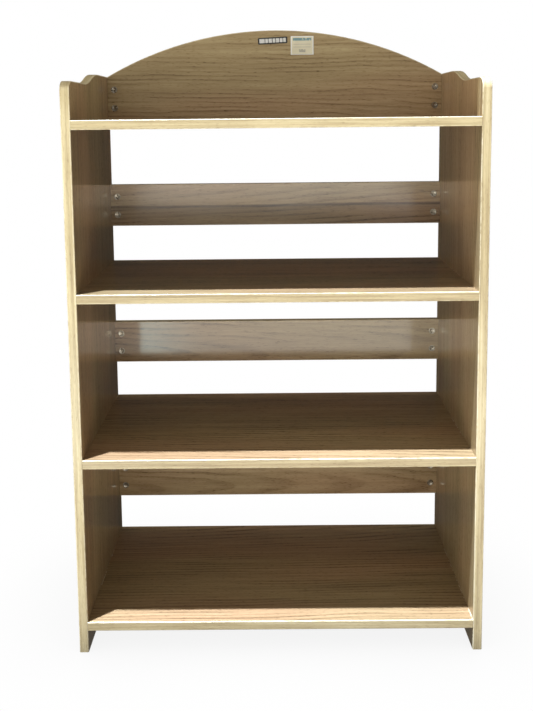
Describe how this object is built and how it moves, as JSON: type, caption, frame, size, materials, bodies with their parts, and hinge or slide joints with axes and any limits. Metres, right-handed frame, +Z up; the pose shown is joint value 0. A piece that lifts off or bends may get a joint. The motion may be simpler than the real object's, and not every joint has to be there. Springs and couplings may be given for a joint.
{
  "type": "open book stand",
  "caption": "Open wood-grain book stand with shelves between two side panels, rails across the open back and an arched back board above the top shelf.",
  "frame": {"origin": "on the floor, at the middle of the overall width and depth", "axes": "+X to the right as one faces the open front, +Y to the rear, +Z up"},
  "size_m": [0.8, 0.4, 1.2519],
  "materials": {
    "side_board": "wood-grain melamine foil, grain upright, satin",
    "shelf_board": "wood-grain melamine foil, grain along the width, satin",
    "back_board": "wood-grain melamine foil, grain along the width, satin",
    "edge_band": "thick rounded edge banding printed with a pale wood grain",
    "rear_band": "thin edge banding printed with a wood grain",
    "cam_zinc": "die-cast zinc, dull",
    "bolt_steel": "zinc-plated steel",
    "insert_nylon": "natural nylon",
    "dowel_beech": "bare beech",
    "nameplate": "blank printed plate, white with a dark field",
    "label_paper": "cream paper label with a blank coloured band"
  },
  "bodies": {
    "root": {"side_panel_left": "side_board", "side_panel_left_front_band": "edge_band", "side_panel_left_rear_band": "rear_band", "side_panel_right": "side_board", "side_panel_right_front_band": "edge_band", "side_panel_right_rear_band": "rear_band", "bottom_shelf": "shelf_board", "bottom_shelf_front_band": "edge_band", "bottom_shelf_rear_band": "rear_band", "lower_shelf": "shelf_board", "lower_shelf_front_band": "edge_band", "lower_shelf_rear_band": "rear_band", "upper_shelf": "shelf_board", "upper_shelf_front_band": "edge_band", "upper_shelf_rear_band": "rear_band", "top_shelf": "shelf_board", "top_shelf_front_band": "edge_band", "top_shelf_rear_band": "rear_band", "lower_back_rail": "back_board", "lower_back_rail_edge_bands": "rear_band", "middle_back_rail": "back_board", "middle_back_rail_edge_bands": "rear_band", "upper_back_rail": "back_board", "upper_back_rail_edge_bands": "rear_band", "arched_back_board": "back_board", "arched_back_board_edge_band": "edge_band", "shelf_cam_nuts": "cam_zinc", "shelf_cam_bolts": "bolt_steel", "shelf_bolt_inserts": "insert_nylon", "shelf_dowels": "dowel_beech", "back_cam_nuts": "cam_zinc", "back_cam_bolts": "bolt_steel", "back_bolt_inserts": "insert_nylon", "back_dowels": "dowel_beech", "nameplate": "nameplate", "paper_label": "label_paper"}
  },
  "joints": []
}
